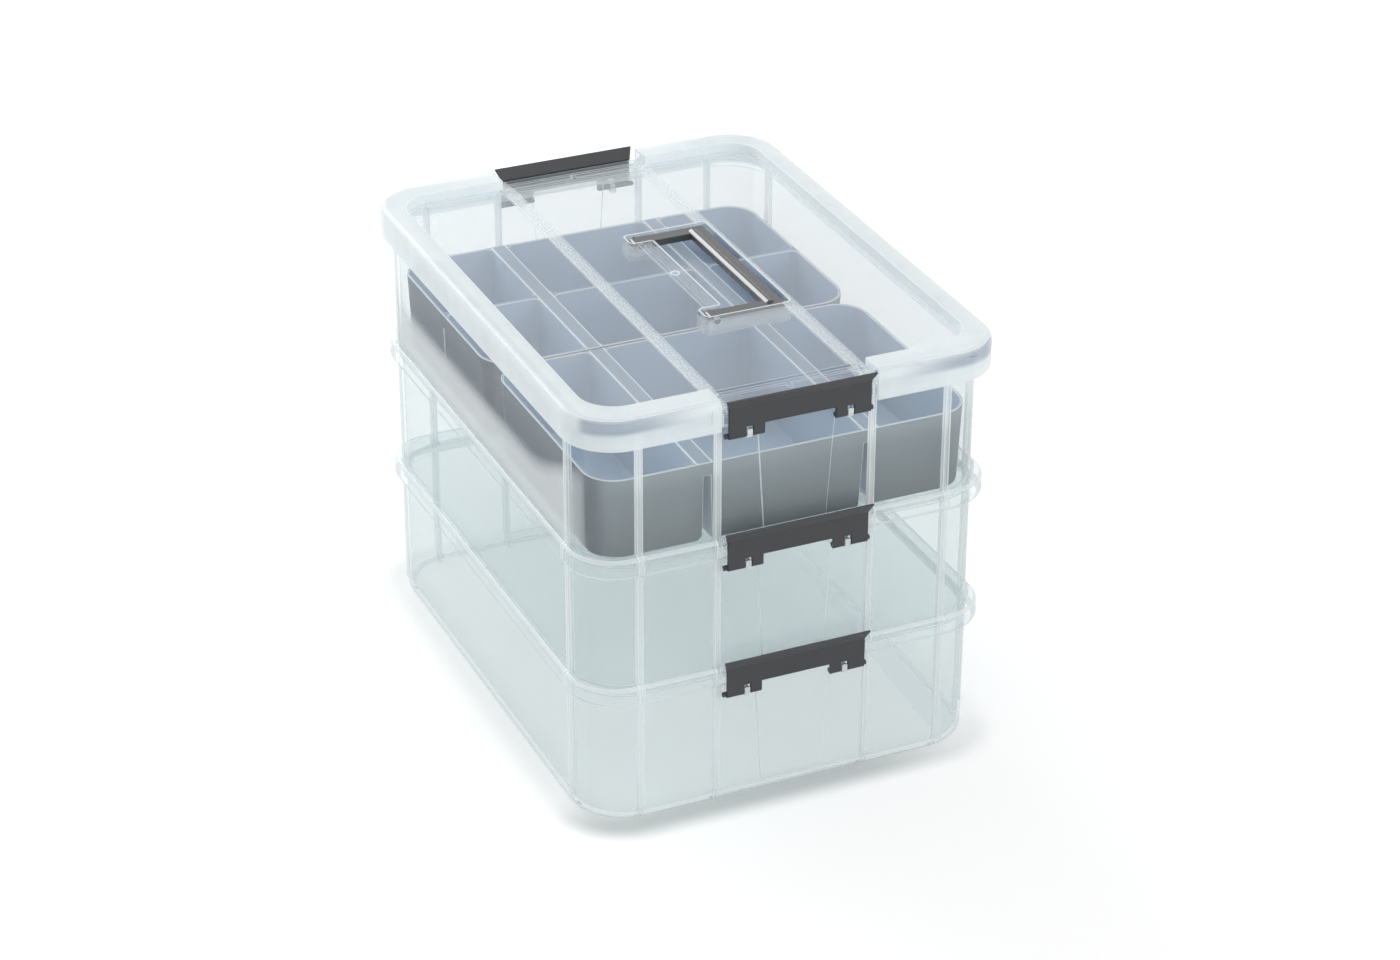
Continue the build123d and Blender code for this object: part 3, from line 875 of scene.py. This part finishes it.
def floor_finish(glow):
    """White floor that keeps the shadow, with a painted shade close to the box, stronger in front of it."""
    finish = new_finish("white floor")
    x, y, _ = finish.place()
    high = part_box("bottom_box")[1]
    gap = finish.outside_by(x, y, high.x - FOOT_INSET, high.y - FOOT_INSET, FOOT_CORNER)
    front = finish.step(0 - y, 0.7 * high.y, high.y)
    right = finish.step(x, 0.3 * high.x, high.x)
    # Painted shade: colour and glow darker in a soft ring about the box's foot, stronger in front, weaker
    # to the right
    shade = finish.near(gap, SHADE_HALF, SHADE_HALF, SHADE_REACH) * (0.3 + 0.7 * front) * (1 - 0.65 * right)
    colour = finish.mixed(shade, FLOOR_COLOUR, FLOOR_PAINTED_SHADE)
    shown = finish.mixed(shade, WHITE, GLOW_PAINTED_SHADE)
    lit = finish.node("ShaderNodeBsdfDiffuse", None, {"Color": colour})
    shine = finish.node("ShaderNodeEmission", None, {"Color": shown, "Strength": glow})
    both = finish.node("ShaderNodeAddShader", None, {0: lit, 1: shine})
    seen = finish.seen_by("Is Camera Ray", "Is Glossy Ray", "Is Transmission Ray")
    return finish.done(finish.blend(seen, lit, both))


def light_sky(strength):
    """Even light from all round, seen as plain white."""
    sky = Finish(bpy.data.worlds.new("white sky"))
    shown = sky.node("ShaderNodeBackground", None, {"Color": WHITE, "Strength": 1.0})
    lighting = sky.node("ShaderNodeBackground", None, {"Color": WHITE, "Strength": strength})
    seen = sky.seen_by("Is Camera Ray", "Is Glossy Ray")
    return sky.done(sky.blend(seen, lighting, shown), end="ShaderNodeOutputWorld")


def add_lamp(name, place, target, width, height, power):
    """Soft lamp that points at a target."""
    lamp = bpy.data.lights.new(name, "AREA")
    lamp.shape = "RECTANGLE"
    lamp.size = width
    lamp.size_y = height
    lamp.energy = power
    made = bpy.data.objects.new(name, lamp)
    bpy.context.scene.collection.objects.link(made)
    aim = (Vector(target) - Vector(place)).to_track_quat("-Z", "Y")
    made.matrix_world = Matrix.Translation(place) @ aim.to_matrix().to_4x4()


class SEWING_OT_stage(bpy.types.Operator):
    """Add the floor, the light and the camera"""

    bl_idname = "sewing.stage"
    bl_label = "Floor, light and camera"

    def execute(self, context):
        scene = context.scene
        settings = scene.sewing_stage
        scene.view_settings.view_transform = "Standard"
        scene.cycles.transparent_max_bounces = 48

        # Floor
        shape = bmesh.new()
        bmesh.ops.create_grid(shape, x_segments=1, y_segments=1, size=FLOOR_HALF)
        mesh = bpy.data.meshes.new("floor")
        shape.to_mesh(mesh)
        shape.free()
        floor = bpy.data.objects.new("floor", mesh)
        scene.collection.objects.link(floor)
        floor.data.materials.append(floor_finish(settings.glow))

        # Light
        scene.world = light_sky(settings.sky)
        add_lamp("key lamp", (0.2, -0.6, 2.0), (0, 0, 0.2), 1.0, 1.0, settings.key_power)
        add_lamp("back lamp", (-0.5, 1.77, 1.25), (0.03, 0, 0.26), 1.5, 0.9, settings.back_power)
        add_lamp("fill lamp", (0.9, -2.0, 0.9), (0, 0, 0.15), 1.2, 1.0, settings.fill_power)
        add_lamp("side lamp", (-2.0, 0.2, 0.6), (0, 0, 0.15), 1.2, 1.0, settings.side_power)

        # Camera
        away = Vector((
            -math.sin(settings.azimuth) * math.cos(settings.elevation),
            -math.cos(settings.azimuth) * math.cos(settings.elevation),
            math.sin(settings.elevation),
        ))
        camera = bpy.data.cameras.new("camera")
        camera.lens = settings.lens
        view = bpy.data.objects.new("camera", camera)
        scene.collection.objects.link(view)
        place = Matrix.Translation(Vector(settings.target) + settings.distance * away)
        aim = (-away).to_track_quat("-Z", "Y").to_matrix().to_4x4()
        view.matrix_world = place @ aim @ Matrix.Rotation(settings.roll, 4, "Z")
        scene.camera = view
        return {"FINISHED"}


class VIEW3D_PT_sewing(bpy.types.Panel):
    """Sidebar panel with one button for each group of pieces"""

    bl_idname = "VIEW3D_PT_sewing"
    bl_label = "Sewing Box"
    bl_space_type = "VIEW_3D"
    bl_region_type = "UI"
    bl_category = "Sewing Box"

    def draw(self, context):
        for operator in OPERATORS:
            self.layout.operator(operator.bl_idname)


SETTINGS = {"sewing_clear": ClearSettings, "sewing_solid": SolidSettings, "sewing_stage": StageSettings}
OPERATORS = (
    SEWING_OT_boxes,
    SEWING_OT_lid,
    SEWING_OT_latches,
    SEWING_OT_handle,
    SEWING_OT_trays,
    SEWING_OT_stage,
)
CLASSES = (*SETTINGS.values(), *OPERATORS, VIEW3D_PT_sewing)


def register():
    for cls in CLASSES:
        bpy.utils.register_class(cls)
    for name, group in SETTINGS.items():
        setattr(bpy.types.Scene, name, PointerProperty(type=group))


def unregister():
    for name in SETTINGS:
        delattr(bpy.types.Scene, name)
    for cls in reversed(CLASSES):
        bpy.utils.unregister_class(cls)


def main():
    register()
    bpy.ops.sewing.boxes()
    bpy.ops.sewing.lid()
    bpy.ops.sewing.latches()
    bpy.ops.sewing.handle()
    bpy.ops.sewing.trays()
    bpy.ops.sewing.stage()


if __name__ == "__main__":
    main()
